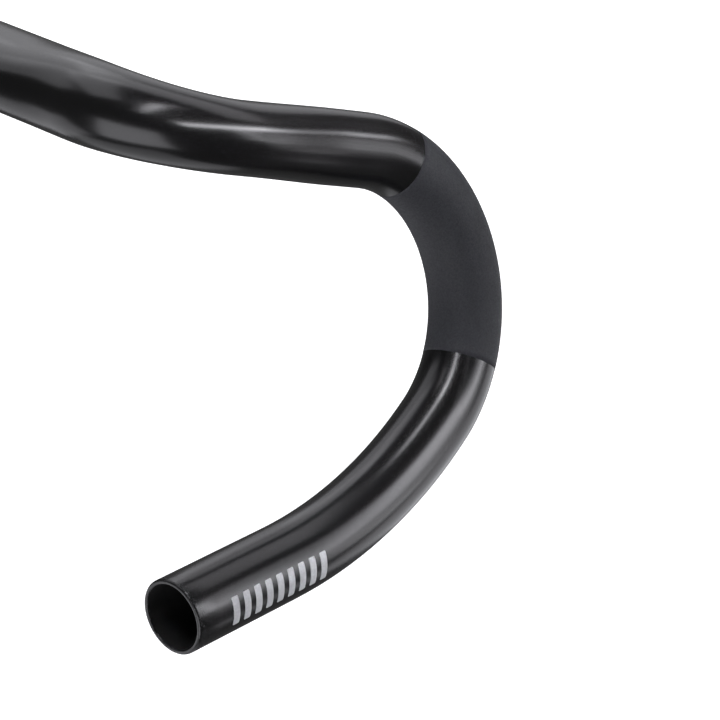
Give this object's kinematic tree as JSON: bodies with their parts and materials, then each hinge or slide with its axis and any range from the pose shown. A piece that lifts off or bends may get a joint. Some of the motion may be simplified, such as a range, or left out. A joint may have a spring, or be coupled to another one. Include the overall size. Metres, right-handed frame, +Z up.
{
  "type": "drop handlebar",
  "caption": "Flared drop handlebar for a bicycle: one bent tube with flattened tops, round clamp section, blasted lever zones and open ends.",
  "frame": {"origin": "centre of the round clamp section, on the bar's axis, midway between the two drops", "axes": "+X along the clamp section to the rider's right, +Y forward, +Z up, with the ramps falling 10 degrees towards the front"},
  "size_m": [0.5384, 0.1544, 0.1635],
  "materials": {
    "satin_black": "satin black anodised",
    "blasted_charcoal": "matte bead blasted charcoal",
    "grey_ink": "matte light grey printed ink"
  },
  "bodies": {
    "root": {"bar_tube": "satin_black", "lever_zone_right": "blasted_charcoal", "lever_zone_left": "blasted_charcoal", "drop_print_right": "grey_ink", "drop_print_left": "grey_ink", "clamp_marks": "grey_ink"}
  },
  "joints": []
}
